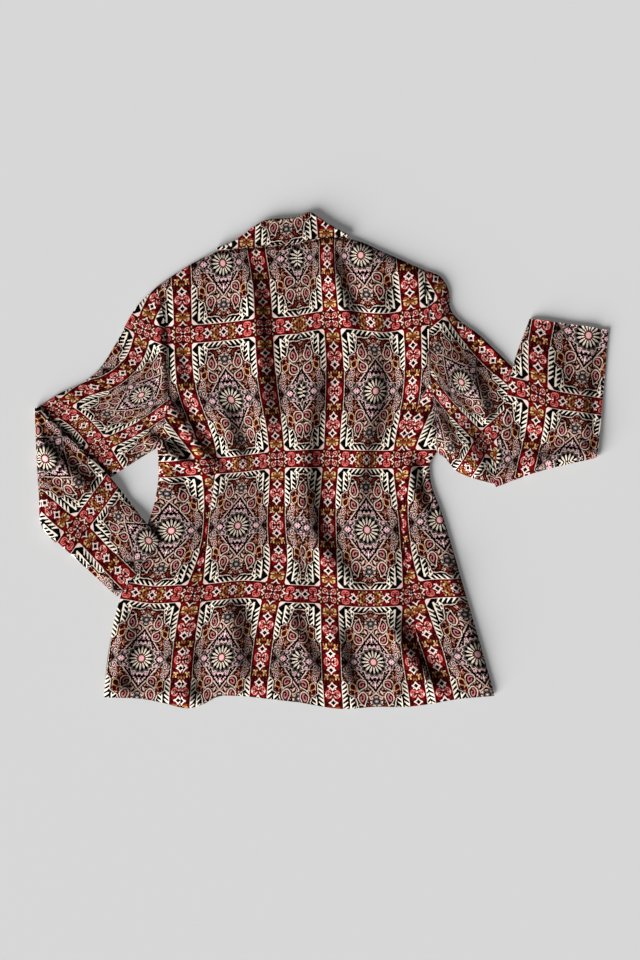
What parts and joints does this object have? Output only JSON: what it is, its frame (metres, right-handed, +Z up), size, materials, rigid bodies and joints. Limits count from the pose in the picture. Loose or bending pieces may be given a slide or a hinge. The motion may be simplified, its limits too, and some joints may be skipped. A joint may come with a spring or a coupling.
{
  "type": "riding jacket",
  "caption": "Fitted, flared riding jacket in figured cloth, laid flat with its back up, sleeves folded at the elbow and collar turned down.",
  "frame": {"origin": "middle of the laid jacket's plan, on the surface that it lies on", "axes": "+X to the wearer's right, +Y to the collar, +Z up from the surface, out of the jacket's back"},
  "size_m": [0.7908, 0.6839, 0.0114],
  "materials": {
    "figured_cloth": "heavy matt jacquard-look cloth in dark red, black, cream and pink"
  },
  "bodies": {
    "root": {"back_left": "figured_cloth", "back_right": "figured_cloth", "side_back_left": "figured_cloth", "side_back_right": "figured_cloth", "front_left": "figured_cloth", "front_right": "figured_cloth", "sleeve_left_back": "figured_cloth", "sleeve_left_front": "figured_cloth", "sleeve_right_back": "figured_cloth", "sleeve_right_front": "figured_cloth", "collar": "figured_cloth"}
  },
  "joints": []
}
